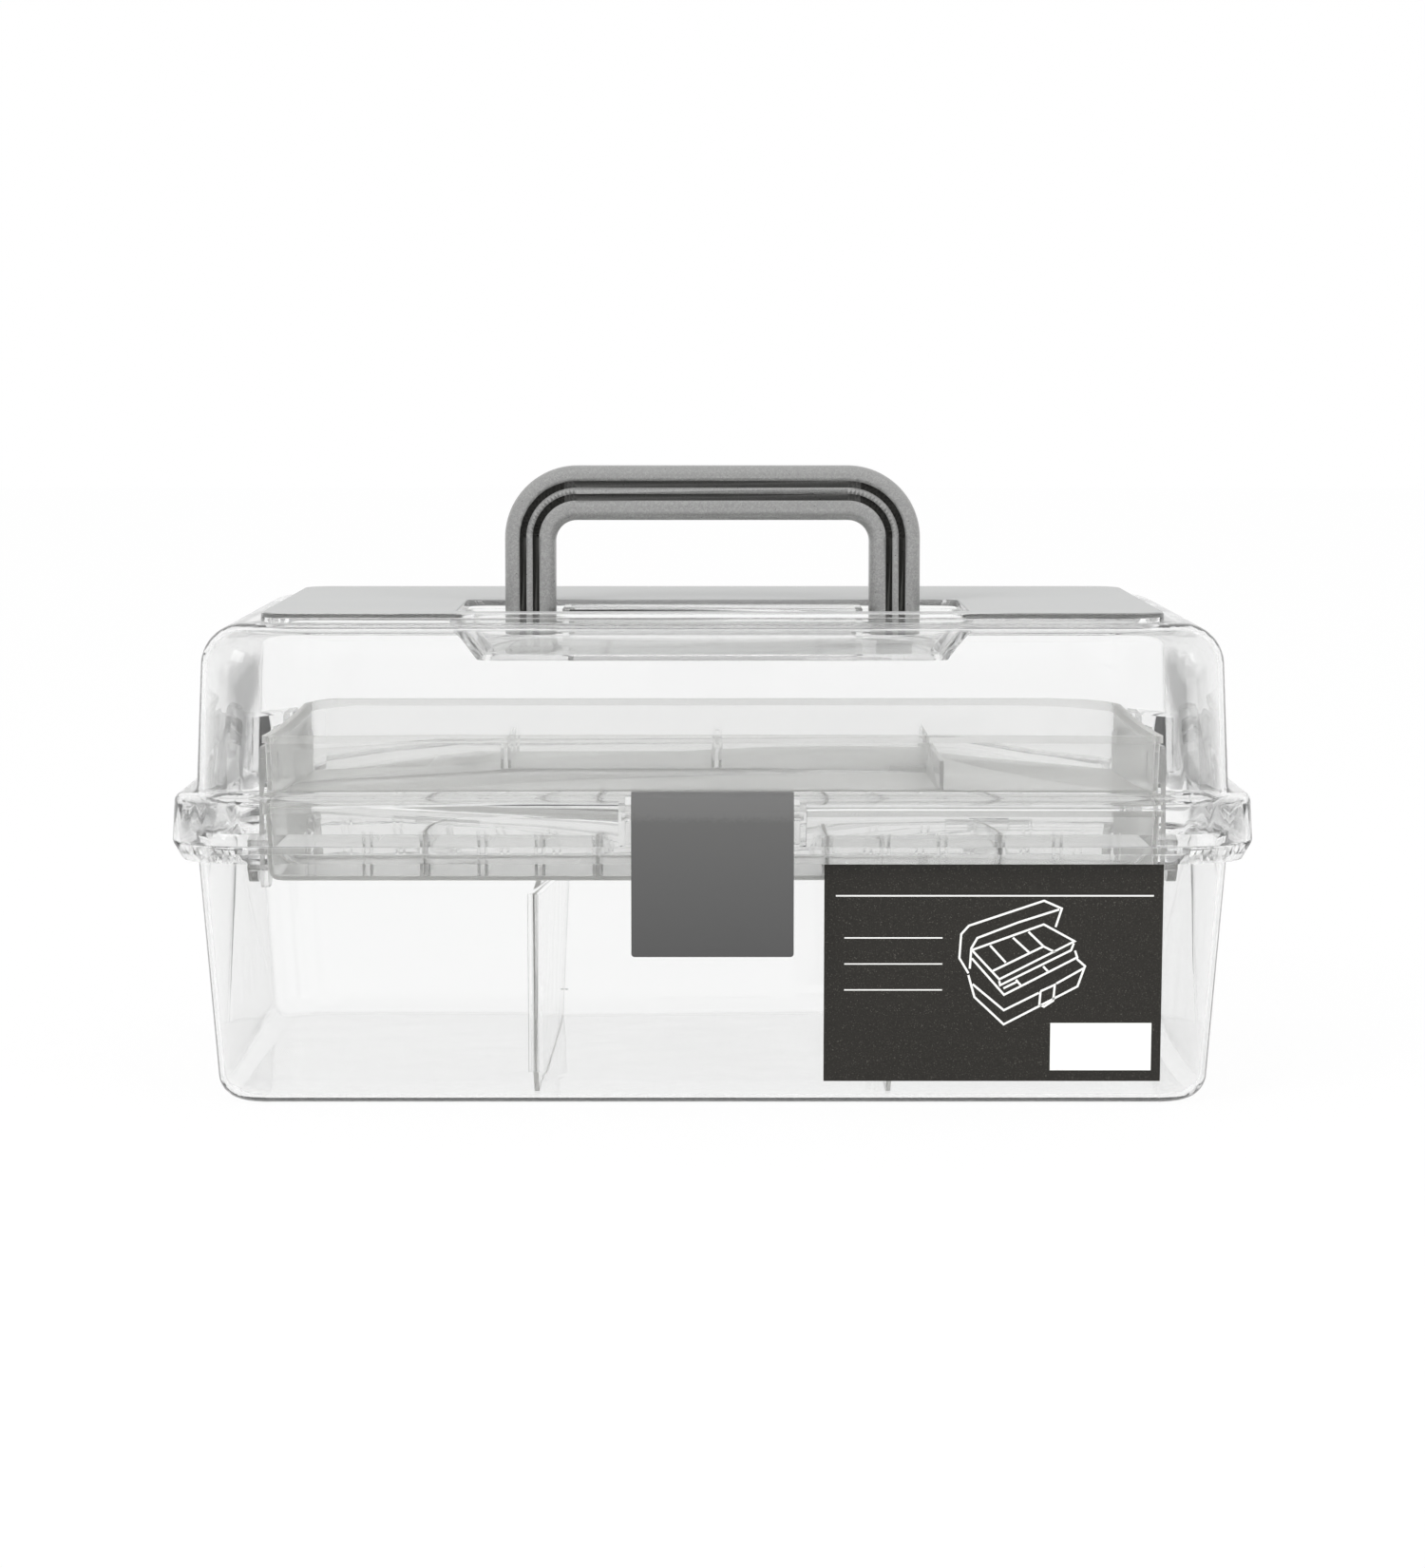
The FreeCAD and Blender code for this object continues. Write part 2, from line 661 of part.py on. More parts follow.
    # Bosses inside the side walls that the rear arms are riveted to.
    for side in (-1, 1):
        sketch = sketch_on(body, "YZ_Plane", f"{side} * arm_outer")
        rectangle(sketch, "lid_boss_front", "lid_boss_back", "lid_boss_low", "lid_boss_high")
        pad(body, sketch, "boss_root - arm_outer", back=side < 0)
        holes = sketch_on(body, "YZ_Plane", f"{side} * arm_outer")
        for y, z in RIVETS:
            circle(holes, y, z, "rivet_radius")
        pocket(body, holes, "rivet_grip", back=side > 0)
    # Knuckles of the rear hinge.
    for side in (-1, 1):
        web = sketch_on(body, "YZ_Plane", f"{side} * hinge_spread")
        rectangle(web, "rim_depth / 2 - skirt_lean - wall / 2", "hinge_y", "lid_bottom",
                  "hinge_z + knuckle_radius")
        pad(body, web, "lid_knuckle", both_ways=True)
        barrel = sketch_on(body, "YZ_Plane", f"{side} * hinge_spread")
        circle(barrel, "hinge_y", "hinge_z", "knuckle_radius")
        pad(body, barrel, "lid_knuckle", both_ways=True)
    bore = sketch_on(body, "YZ_Plane")
    circle(bore, "hinge_y", "hinge_z", "hinge_pin_radius + running_clearance")
    pocket(body, bore, "rim_width", both_ways=True)


# Rear arms: plates riveted inside the lid that reach down into the bin and lift both trays.
def build_lid_arms():
    rivets = []
    for side, name in SIDES:
        body = new_body(f"lid_arm_{name}")
        sketch = sketch_on(body, "YZ_Plane", f"{side} * arm_inner")
        outline(sketch, [
            ("top_rear_y - arm_half", "top_rear_z - arm_half"),
            ("low_rear_y + lug_half", "low_rear_z - arm_half"),
            ("low_rear_y + lug_half", "low_rear_z + arm_half"),
            ("lid_boss_back", "lid_boss_high"),
            ("lid_boss_front", "lid_boss_high")])
        pad(body, sketch, "arm_thick", back=side < 0)
        fillet(body, along_x, "arm_half - pivot_radius")
        holes = sketch_on(body, "YZ_Plane", f"{side} * arm_inner")
        circle(holes, "top_rear_y", "top_rear_z", "pivot_radius + running_clearance")
        circle(holes, "low_rear_y", "low_rear_z", "pivot_radius + running_clearance")
        for y, z in RIVETS:
            circle(holes, y, z, "rivet_radius")
        pocket(body, holes, "arm_thick", back=side > 0)
        for y, z in RIVETS:
            start = "arm_inner" if side > 0 else "-arm_outer - rivet_grip"
            rivets.append(rod("lid_rivet", start, y, z, "rivet_radius", "arm_thick + rivet_grip"))
    group("lid_arm_rivets", rivets)


# Front arms: straight links between a boss on the bin's side, the lower tray and the upper tray.
def build_front_arms():
    pins = []
    across_y = "arm_half * sin(crank_angle)"
    across_z = "arm_half * cos(crank_angle)"
    for side, name in SIDES:
        body = new_body(f"front_arm_{name}")
        sketch = sketch_on(body, "YZ_Plane", f"{side} * arm_inner")
        outline(sketch, [
            (f"top_front_y + {across_y}", f"top_front_z - {across_z}"),
            (f"front_pivot_y + {across_y}", f"front_pivot_z - {across_z}"),
            (f"front_pivot_y - {across_y}", f"front_pivot_z + {across_z}"),
            (f"top_front_y - {across_y}", f"top_front_z + {across_z}")])
        pad(body, sketch, "arm_thick", back=side < 0)
        pivots = [("top_front_y", "top_front_z"), ("front_pivot_y", "front_pivot_z"),
                  ("low_front_y", "low_front_z")]
        for y, z in pivots[:2]:
            end = sketch_on(body, "YZ_Plane", f"{side} * arm_inner")
            circle(end, y, z, "arm_half")
            pad(body, end, "arm_thick", back=side < 0)
        holes = sketch_on(body, "YZ_Plane", f"{side} * arm_inner")
        for y, z in pivots:
            circle(holes, y, z, "pivot_radius + running_clearance")
        pocket(body, holes, "arm_thick", back=side > 0)
        start = "arm_inner" if side > 0 else "-base_boss_face - rivet_grip"
        pins.append(rod("base_pin", start, "front_pivot_y", "front_pivot_z", "pivot_radius",
                        "arm_thick + boss_gap + rivet_grip"))
    group("front_arm_pins", pins)


def tray_shell(body, bottom, top):
    """An open tray with drafted walls, a rounded floor edge and a bead round its mouth."""
    mouth = ("tray_width - 2 * bead_out", "tray_depth - 2 * bead_out")
    lean = f"({top} - {bottom}) * tan(tray_draft)"
    wedge(body, bottom, top, [f"{side} - 2 * {lean}" for side in mouth], mouth,
          "tray_corner", "tray_middle")
    fillet(body, at_height(bottom), "tray_round")
    pad(body, section(body, top, "tray_width", "tray_depth", "tray_corner + bead_out", "tray_middle"),
        "bead_height", back=True)
    inner_lean = f"({top} - {bottom} - tray_floor) * tan(tray_draft)"
    cavity = new_cavity(f"{body.Label}_cavity")
    wedge(cavity, f"{bottom} + tray_floor", top,
          [f"{side} - 2 * tray_wall - 2 * {inner_lean}" for side in mouth],
          [f"{side} - 2 * tray_wall" for side in mouth], "tray_corner - tray_wall", "tray_middle")
    cut_away(body, cavity)


def rib_pairs(body, floor, high, low_y, high_y, slots, slot_half):
    """Pairs of low ribs on two walls, with a slot between them for a divider."""
    for middle in slots:
        sketch = sketch_on(body, "XY_Plane", floor)
        for face in (-1, 1):
            left = f"{middle} + {face} * ({slot_half} + rib_thick / 2) - rib_thick / 2"
            right = f"{middle} + {face} * ({slot_half} + rib_thick / 2) + rib_thick / 2"
            for start, end in (low_y, high_y):
                rectangle(sketch, left, right, start, end)
        pad(body, sketch, high)


# Lower tray: open tray with ribbed long walls for loose dividers and lugs for its pivots.
def build_lower_tray():
    body = new_body("lower_tray")
    tray_shell(body, "lower_bottom", "lower_top")
    lean = "(lower_height - tray_floor) * tan(tray_draft)"
    first = "-(slot_count - 1) / 2 * slot_pitch"
    rib_pairs(body, "lower_bottom + tray_floor", "tray_divider_height",
              (f"tray_front + {lean}", f"tray_front + {lean} + tray_wall + rib_depth"),
              (f"tray_back - {lean} - tray_wall - rib_depth", f"tray_back - {lean}"),
              [first], "tray_divider_thick / 2 + divider_clearance")
    ribs = body.Tip
    pattern = body.newObject("PartDesign::LinearPattern", "rib_pattern")
    pattern.Originals = [ribs]
    pattern.Direction = (ribs.Profile[0], ["H_Axis"])
    pattern.setExpression("Length", bound("(slot_count - 1) * slot_pitch"))
    pattern.setExpression("Occurrences", bound("slot_count"))
    body.Tip = pattern
    doc.recompute()
    pins = []
    for side in (-1, 1):
        lugs = sketch_on(body, "YZ_Plane", f"{side} * lug_inner")
        rectangle(lugs, "low_front_y - lug_half", "low_front_y + lug_half",
                  "low_front_z - lug_half", "low_front_z + lug_half")
        rectangle(lugs, "tray_back - lug_root", "low_rear_y + lug_half",
                  "low_rear_z - lug_half", "low_rear_z + lug_half")
        pad(body, lugs, "lug_thick", back=side < 0)
        holes = sketch_on(body, "YZ_Plane", f"{side} * lug_inner")
        circle(holes, "low_front_y", "low_front_z", "pivot_radius")
        circle(holes, "low_rear_y", "low_rear_z", "pivot_radius")
        pocket(body, holes, "lug_thick", back=side > 0)
        start = "lug_inner" if side > 0 else "-arm_outer"
        for y, z in (("low_front_y", "low_front_z"), ("low_rear_y", "low_rear_z")):
            pins.append(rod("lower_pin", start, y, z, "pivot_radius", "arm_outer - lug_inner"))
    group("lower_tray_pins", pins)
    # Loose dividers in four of the slots.
    floor = "lower_bottom + tray_floor"
    reach = f"tray_depth / 2 - bead_out - {lean} - tray_wall - divider_end_gap"
    for index, slot in enumerate((-5, -2, 2, 5), start=1):
        divider(f"lower_divider_{index}", f"{slot} * slot_pitch", f"tray_middle - ({reach})",
                f"tray_middle + {reach}", floor, f"{floor} + tray_divider_height")


def divider(label, middle, front, back, low, high):
    """A thin cross plate with rounded top corners."""
    body = new_body(label)
    sketch = sketch_on(body, "YZ_Plane", middle)
    rectangle(sketch, front, back, low, high)
    pad(body, sketch, "tray_divider_thick", both_ways=True)
    top = value(high)
    fillet(body, lambda edge, spots: along_x(edge, spots) and abs(spots[0].z - top) < 1e-4, "tray_round")


# Upper tray: open tray with a moulded lengthways wall and cross partition, two loose dividers
# behind the wall, and a bracket at each end that hangs down outside the lower tray.
def build_upper_tray():
    body = new_body("upper_tray")
    tray_shell(body, "upper_bottom", "upper_top")
    floor = "upper_bottom + tray_floor"
    lean = "(upper_height - tray_floor) * tan(tray_draft)"
    end = f"tray_width / 2 - bead_out - {lean}"
    long_wall = sketch_on(body, "XY_Plane", floor)
    rectangle(long_wall, f"-({end})", "partition_x",
              "long_divider_y - tray_divider_thick / 2", "long_divider_y + tray_divider_thick / 2")
    pad(body, long_wall, "long_divider_height")
    cross_wall = sketch_on(body, "XY_Plane", floor)
    rectangle(cross_wall, "partition_x - tray_divider_thick / 2", "partition_x + tray_divider_thick / 2",
              f"tray_front + {lean}", f"tray_back - {lean}")
    pad(body, cross_wall, "long_divider_height")
    row = "(partition_x - tray_divider_thick / 2 + tray_width / 2 - bead_out - tray_wall)"
    slots = [f"partition_x - {row} * {share} / 3" for share in (1, 2)]
    rib_pairs(body, floor, "upper_divider_height",
              ("long_divider_y", "long_divider_y + tray_divider_thick / 2 + rib_depth"),
              (f"tray_back - {lean} - tray_wall - rib_depth", f"tray_back - {lean}"),
              slots, "tray_divider_thick / 2 + divider_clearance")
    for index, slot in enumerate(slots, start=1):
        divider(f"upper_divider_{index}", slot,
                "long_divider_y + tray_divider_thick / 2 + divider_end_gap",
                f"tray_back - {lean} - tray_wall - divider_end_gap", floor,
                f"{floor} + upper_divider_height")
    pins = []
    for side, name in SIDES:
        pads = sketch_on(body, "YZ_Plane", f"{side} * lug_inner")
        for middle in ("top_front_y", "top_rear_y - bracket_bar"):
            rectangle(pads, f"{middle} - bracket_half", f"{middle} + bracket_half",
                      "bracket_low + tray_wall", "bracket_high - tray_wall")
        pad(body, pads, "bracket_inner - lug_inner", back=side < 0)
        plate = new_body(f"upper_tray_bracket_{name}")
        sketch = sketch_on(plate, "YZ_Plane", f"{side} * bracket_inner")
        outline(sketch, [
            ("top_front_y - bracket_half", "top_front_z - bracket_half"),
            ("top_front_y + bracket_half", "top_front_z - bracket_half"),
            ("top_front_y + bracket_half", "bracket_low"),
            ("top_rear_y - bracket_half", "bracket_low"),
            ("top_rear_y - bracket_half", "top_rear_z - bracket_half"),
            ("top_rear_y + bracket_half", "top_rear_z - bracket_half"),
            ("top_rear_y + bracket_half", "bracket_high"),
            ("top_front_y - bracket_half", "bracket_high")])
        pad(plate, sketch, "bracket_thick", back=side < 0)
        fillet(plate, along_x, "bracket_half - pivot_radius")
        holes = sketch_on(plate, "YZ_Plane", f"{side} * bracket_inner")
        circle(holes, "top_front_y", "top_front_z", "pivot_radius")
        circle(holes, "top_rear_y", "top_rear_z", "pivot_radius")
        pocket(plate, holes, "bracket_thick", back=side > 0)
        start = "bracket_inner" if side > 0 else "-arm_outer"
        for y, z in (("top_front_y", "top_front_z"), ("top_rear_y", "top_rear_z")):
            pins.append(rod("upper_pin", start, y, z, "pivot_radius", "arm_outer - bracket_inner"))
    group("upper_tray_pins", pins)


# Hinge pins: short rods through the knuckles at the back of the rim.
def build_hinge_pins():
    length = "lid_knuckle + 2 * knuckle_gap + 2 * base_knuckle"
    for side, name in SIDES:
        pin = rod(f"hinge_pin_{name}", f"{side} * hinge_spread - ({length}) / 2", "hinge_y", "hinge_z",
                  "hinge_pin_radius", length)
        nodes.append(pin)


# Latch: flat plate with a snap-on barrel round the lid's rod and a low catch ridge inside.
def build_latch():
    body = new_body("latch")
    plate = sketch_on(body, "YZ_Plane")
    outline(plate, [
        ("latch_face", "latch_bottom"),
        ("latch_inside", "latch_bottom"),
        ("latch_inside", "rod_z"),
        ("rod_y", "rod_z"),
        ("rod_y", "rod_z + latch_cap"),
        ("latch_face", "rod_z + sqrt(latch_cap ^ 2 - latch_front ^ 2)", "latch_cap")])
    pad(body, plate, "latch_width", both_ways=True)
    face = value("latch_face")
    low = value("latch_bottom")
    half = value("latch_width / 2")

    def plate_corner(edge, spots):
        """The plate's two lower corners, seen from the front."""
        return all(abs(abs(spot.x) - half) < 1e-4 and abs(spot.z - low) < 1e-4 for spot in spots)

    fillet(body, plate_corner, "latch_round")

    def front_edge(edge, spots):
        """Edges of the plate's face, down its sides and along its foot."""
        return all(abs(spot.y - face) < 1e-4 for spot in spots) and spots[-1].z < value("rod_z")

    fillet(body, front_edge, "latch_round / 2")
    barrel = sketch_on(body, "YZ_Plane")
    circle(barrel, "rod_y", "rod_z", "barrel_radius")
    pad(body, barrel, "latch_width - 2 * latch_round", both_ways=True)
    catch = sketch_on(body, "YZ_Plane")
    outline(catch, [
        ("latch_inside - latch_round / 2", "catch_top - catch_height"),
        ("latch_inside + catch_depth", "catch_top - catch_height / 2"),
        ("latch_inside - latch_round / 2", "catch_top")])
    pad(body, catch, "latch_width / 2", both_ways=True)
    bore = sketch_on(body, "YZ_Plane")
    circle(bore, "rod_y", "rod_z", "barrel_bore")
    pocket(body, bore, "latch_width", both_ways=True)
    mouth = sketch_on(body, "YZ_Plane")
    rectangle(mouth, "rod_y", "rod_y + 2 * barrel_radius", "rod_z - snap_mouth / 2",
              "rod_z + snap_mouth / 2")
    pocket(body, mouth, "latch_width", both_ways=True)


# Handle: one thick U with two grooves along its front, rounded leg ends and inward stub axles.
def u_band(sketch, near, far, foot, sink="0"):
    """A U-shaped band between two distances from the handle's outer edge; sink thickens its bar."""
    turn = "(handle_width / 2 - handle_corner)"
    rise = "(handle_top - handle_corner)"
    return outline(sketch, [
        (f"handle_width / 2 - {near}", foot),
        (f"handle_width / 2 - {near}", rise),
        (turn, f"handle_top - {near}", f"handle_corner - {near}"),
        (f"-{turn}", f"handle_top - {near}"),
        (f"{near} - handle_width / 2", rise, f"handle_corner - {near}"),
        (f"{near} - handle_width / 2", foot),
        (f"{far} - handle_width / 2", foot),
        (f"{far} - handle_width / 2", f"{rise} - {sink}"),
        (f"-{turn}", f"handle_top - {far} - {sink}", f"-(handle_corner - {far})"),
        (turn, f"handle_top - {far} - {sink}"),
        (f"handle_width / 2 - {far}", f"{rise} - {sink}", f"-(handle_corner - {far})"),
        (f"handle_width / 2 - {far}", foot)])


def build_handle():
    body = new_body("handle")
    grip = sketch_on(body, "XZ_Plane", "-handle_y")
    u_band(grip, "0", "handle_leg", "handle_z", "(handle_bar - handle_leg)")
    pad(body, grip, "handle_thick", both_ways=True)
    for side in (-1, 1):
        end = sketch_on(body, "YZ_Plane", f"{side} * leg_inner")
        circle(end, "handle_y", "handle_z", "handle_thick / 2")
        pad(body, end, "handle_leg", back=side < 0)
    pivot = value("handle_z")

    def long_edge(edge, spots):
        """Edges that run along the U and round its leg ends."""
        way = spots[0] - spots[-1]
        across = abs(way.x) < 1e-6 and abs(way.z) < 1e-6
        seam = along_x(edge, spots) and spots[0].z < pivot + 1
        return not across and not seam

    fillet(body, long_edge, "handle_round")
    for near in ("groove_first", "groove_second"):
        groove = sketch_on(body, "XZ_Plane", "handle_thick / 2 - handle_y")
        u_band(groove, near, f"({near} + groove_wide)", "handle_z")
        pocket(body, groove, "groove_deep")
    for side in (-1, 1):
        for start, reach, radius in (
                ("leg_inner + handle_round", "foot_tab + handle_round", "handle_thick / 2 - handle_round"),
                ("leg_inner - foot_tab / 2", "island_gap + wall", "stub_radius")):
            tab = sketch_on(body, "YZ_Plane", f"{side} * ({start})")
            circle(tab, "handle_y", "handle_z", radius)
            pad(body, tab, reach, back=side > 0)


# Label: thin printed sheet on the front wall, leaning with the wall.
def build_label():
    label = doc.addObject("Part::Box", "front_label")
    label.Label = "front_label"
    label.Placement = FreeCAD.Placement(
        FreeCAD.Vector(0, 0, 0), FreeCAD.Rotation(FreeCAD.Vector(1, 0, 0), SIZES["base_draft"]))
    for name, formula in (
            ("Length", "label_width"), ("Width", "label_thick"), ("Height", "label_height"),
            ("Placement.Rotation.Angle", "base_draft"),
            ("Placement.Base.x", "label_x - label_width / 2"),
            ("Placement.Base.y", "-foot_depth / 2 - label_bottom * tan(base_draft)"
                                 " - (label_thick + label_gap) / cos(base_draft)"),
            ("Placement.Base.z", "label_bottom")):
        label.setExpression(name, bound(formula))
    nodes.append(label)


build_base()
build_bin_dividers()
build_lid()
build_lid_arms()
build_front_arms()
build_lower_tray()
build_upper_tray()
build_hinge_pins()
build_latch()
build_handle()
build_label()
doc.recompute()

for item in doc.Objects:
    if "Invalid" in item.State or "Error" in item.State:
        raise RuntimeError(f"{item.Label} failed: {item.State}")
for node in nodes:
    if node.Shape.isNull() or not node.Shape.isValid():
        raise RuntimeError(f"{node.Label} has no valid shape")

os.makedirs("parts", exist_ok=True)
for node in nodes:
    node.Shape.exportStep(f"parts/{node.Label}.step")
    print(node.Label, len(node.Shape.Solids), round(node.Shape.Volume, 1))
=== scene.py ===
import json
import math

import bmesh
import bpy
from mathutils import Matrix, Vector


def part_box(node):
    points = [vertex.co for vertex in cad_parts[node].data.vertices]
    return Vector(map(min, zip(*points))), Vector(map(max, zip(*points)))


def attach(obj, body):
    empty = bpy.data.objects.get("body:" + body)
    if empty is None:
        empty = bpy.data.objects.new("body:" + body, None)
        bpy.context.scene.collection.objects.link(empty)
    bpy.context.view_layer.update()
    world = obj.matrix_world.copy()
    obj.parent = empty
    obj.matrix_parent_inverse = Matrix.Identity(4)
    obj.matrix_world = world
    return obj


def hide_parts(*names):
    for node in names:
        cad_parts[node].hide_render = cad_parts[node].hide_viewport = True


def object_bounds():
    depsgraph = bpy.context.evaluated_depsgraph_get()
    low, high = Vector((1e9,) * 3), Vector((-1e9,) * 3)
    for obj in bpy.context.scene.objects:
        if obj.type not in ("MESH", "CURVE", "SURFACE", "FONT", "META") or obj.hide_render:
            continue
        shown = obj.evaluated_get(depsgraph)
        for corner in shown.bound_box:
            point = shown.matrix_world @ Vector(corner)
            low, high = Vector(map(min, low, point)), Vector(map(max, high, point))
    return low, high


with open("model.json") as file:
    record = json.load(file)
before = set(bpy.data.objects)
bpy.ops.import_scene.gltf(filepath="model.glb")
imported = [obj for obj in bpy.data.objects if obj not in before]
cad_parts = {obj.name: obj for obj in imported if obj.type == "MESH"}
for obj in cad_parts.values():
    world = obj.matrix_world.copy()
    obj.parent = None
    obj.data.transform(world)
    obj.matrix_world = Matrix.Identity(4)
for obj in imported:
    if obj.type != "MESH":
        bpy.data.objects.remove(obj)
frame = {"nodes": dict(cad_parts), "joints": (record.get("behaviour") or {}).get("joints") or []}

cad_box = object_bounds()
scene = bpy.context.scene


# Bin and lid: two clear injection-moulded shells about 2 mm thick, joined by the hinge at the back.
# The plastic is glossy with a faint haze, and its walls ripple slightly where the melt ran. The top of
# the lid's raised panel is frosted.
class Socket:
    """A socket in a node tree: sums on it add Math nodes, and node() adds any other."""

    def __init__(self, tree, socket=None):
        self.tree = tree
        self.socket = socket

    def node(self, kind, settings=None, sockets=None, out=0):
        made = self.tree.nodes.new(kind)
        for name, setting in (settings or {}).items():
            if name == "stops":
                ramp = made.color_ramp.elements
                while len(ramp) < len(setting):
                    ramp.new(1.0)
                for element, (position, colour) in zip(ramp, setting):
                    element.position = position
                    element.color = colour
            else:
                setattr(made, name, setting)
        for name, entry in (sockets or {}).items():
            if isinstance(entry, Socket):
                self.tree.links.new(entry.socket, made.inputs[name])
            else:
                made.inputs[name].default_value = entry
        return Socket(self.tree, made.outputs[out] if made.outputs else None)

    def maths(self, operation, first, second=0.0):
        return self.node("ShaderNodeMath", {"operation": operation}, {0: first, 1: second})

    def __add__(self, other):
        return self.maths("ADD", self, other)

    def __radd__(self, other):
        return self.maths("ADD", other, self)

    def __sub__(self, other):
        return self.maths("SUBTRACT", self, other)

    def __rsub__(self, other):
        return self.maths("SUBTRACT", other, self)

    def __mul__(self, other):
        return self.maths("MULTIPLY", self, other)

    def __rmul__(self, other):
        return self.maths("MULTIPLY", other, self)

    def __lt__(self, other):
        return self.maths("LESS_THAN", self, other)

    def __gt__(self, other):
        return self.maths("GREATER_THAN", self, other)

    def __abs__(self):
        return self.maths("ABSOLUTE", self)


def new_finish(name):
    """An empty material and the start of its node tree."""
    material = bpy.data.materials.new(name)
    material.use_nodes = True
    material.node_tree.nodes.clear()
    return material, Socket(material.node_tree)


def show(start, shader):
    start.node("ShaderNodeOutputMaterial", None, {"Surface": shader})


def place(start, axis):
    """Where a point of the piece lies along an axis, in metres."""
    spot = start.node("ShaderNodeTexCoord", out="Object")
    return start.node("ShaderNodeSeparateXYZ", None, {"Vector": spot}, out=axis)


def ripple(start, size, depth, detail=2.0):
    """Soft unevenness of a moulded face: its pattern, and the normal that it gives."""
    spot = start.node("ShaderNodeTexCoord", out="Object")
    pattern = start.node("ShaderNodeTexNoise", None, {
        "Vector": spot, "Scale": 1 / size, "Detail": detail, "Roughness": 0.5})
    normal = start.node("ShaderNodeBump", None, {"Height": pattern, "Distance": depth, "Strength": 1.0})
    return pattern, normal


def hazy_plastic(name, colour, haze, bend, gloss, frost=None):
    """A clear wall with a faint haze that thickens with the slant it is seen at.

    haze is the share hidden by one face seen square on, bend the index of refraction and gloss the
    share mirrored at a glancing view. frost, if given, takes the start of the node tree and returns how
    much more a frosted face hides."""
    edge_on = 0.03
    square_on = 0.07
    glance = 5.0
    material, start = new_finish(name)
    facing = start.node("ShaderNodeLayerWeight", None, {"Blend": 0.5}, out="Facing")
    clear = 1 - haze - frost(start) if frost else 1 - haze
    path = start.maths("DIVIDE", 1.0, 1 + edge_on - facing)
    cover = 1 - start.maths("POWER", clear, path)
    flow, normal = ripple(start, size=0.05, depth=0.00012)
    body = start.node("ShaderNodeBsdfPrincipled", None, {
        "Base Color": colour, "Roughness": 0.5 + 0.15 * flow, "Specular IOR Level": 0.06, "Normal": normal})
    pane = start.node("ShaderNodeBsdfPrincipled", None, {
        "Base Color": (0.997, 0.998, 0.997, 1), "Transmission Weight": 1.0, "IOR": bend,
        "Roughness": 0.01, "Normal": normal})
    veil = start.node("ShaderNodeMixShader", None, {0: cover, 1: pane, 2: body})
    shine = start.node("ShaderNodeBsdfGlossy", None, {"Roughness": 0.04, "Normal": normal})
    sheen = gloss * (square_on + start.maths("POWER", facing, glance))
    show(start, start.node("ShaderNodeMixShader", None, {0: sheen, 1: veil, 2: shine}))
    return material


def frosted_panel(start):
    """Frost on the top of the lid's raised panel."""
    frost = 0.27
    skin = 0.0004
    return frost * (place(start, "Z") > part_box("lid")[1].z - skin)


def moulded(name, node, body, material, ease=0.0):
    """The CAD node with its corners joined and its rounds shaded smooth, shown in its place.

    ease draws its faces in, so that a clear part doesn't share a face with the part it sits on."""
    weld = 2e-6
    crease = math.radians(32)
    mesh = frame["nodes"][node].data.copy()
    joined = bmesh.new()
    joined.from_mesh(mesh)
    bmesh.ops.remove_doubles(joined, verts=joined.verts, dist=weld)
    joined.normal_update()
    for corner in joined.verts:
        corner.co -= corner.normal * ease
    joined.to_mesh(mesh)
    joined.free()
    mesh.shade_smooth()
    mesh.set_sharp_from_angle(angle=crease)
    mesh.materials.clear()
    mesh.materials.append(material)
    piece = bpy.data.objects.new(name, mesh)
    scene.collection.objects.link(piece)
    flat = piece.modifiers.new("flat_faces", "WEIGHTED_NORMAL")
    flat.keep_sharp = True
    flat.weight = 100
    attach(piece, body)
    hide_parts(node)


shell_plastic = hazy_plastic(
    "clear_plastic", (0.45, 0.455, 0.452, 1), haze=0.016, bend=1.25, gloss=0.25, frost=frosted_panel)
moulded("clear_bin", "base_bin", "base", shell_plastic)
moulded("clear_lid", "lid", "lid", shell_plastic)


# Trays and dividers: thinner mouldings in an unclarified plastic, so they look milky and veil
# what is seen through them. The trays' mouths carry a bead and the dividers drop between ribs.
def cut_edges(start):
    """Frost on the cut edges of a divider, whose broad faces look along X."""
    frost = 0.3
    broad = 0.5
    way = start.node("ShaderNodeTexCoord", out="Normal")
    along = start.node("ShaderNodeSeparateXYZ", None, {"Vector": way}, out="X")
    return frost * (abs(along) < broad)


def thick_beads(start):
    """More haze in the thick bead round the mouth of each tray."""
    frost = 0.13
    bead = 0.0022
    slack = 0.0002
    height = place(start, "Z")
    low_mouth, high_mouth = (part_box(tray)[1].z for tray in ("lower_tray", "upper_tray"))
    low_bead = (height > low_mouth - bead) * (height < low_mouth + slack)
    return frost * (low_bead + (height > high_mouth - bead))


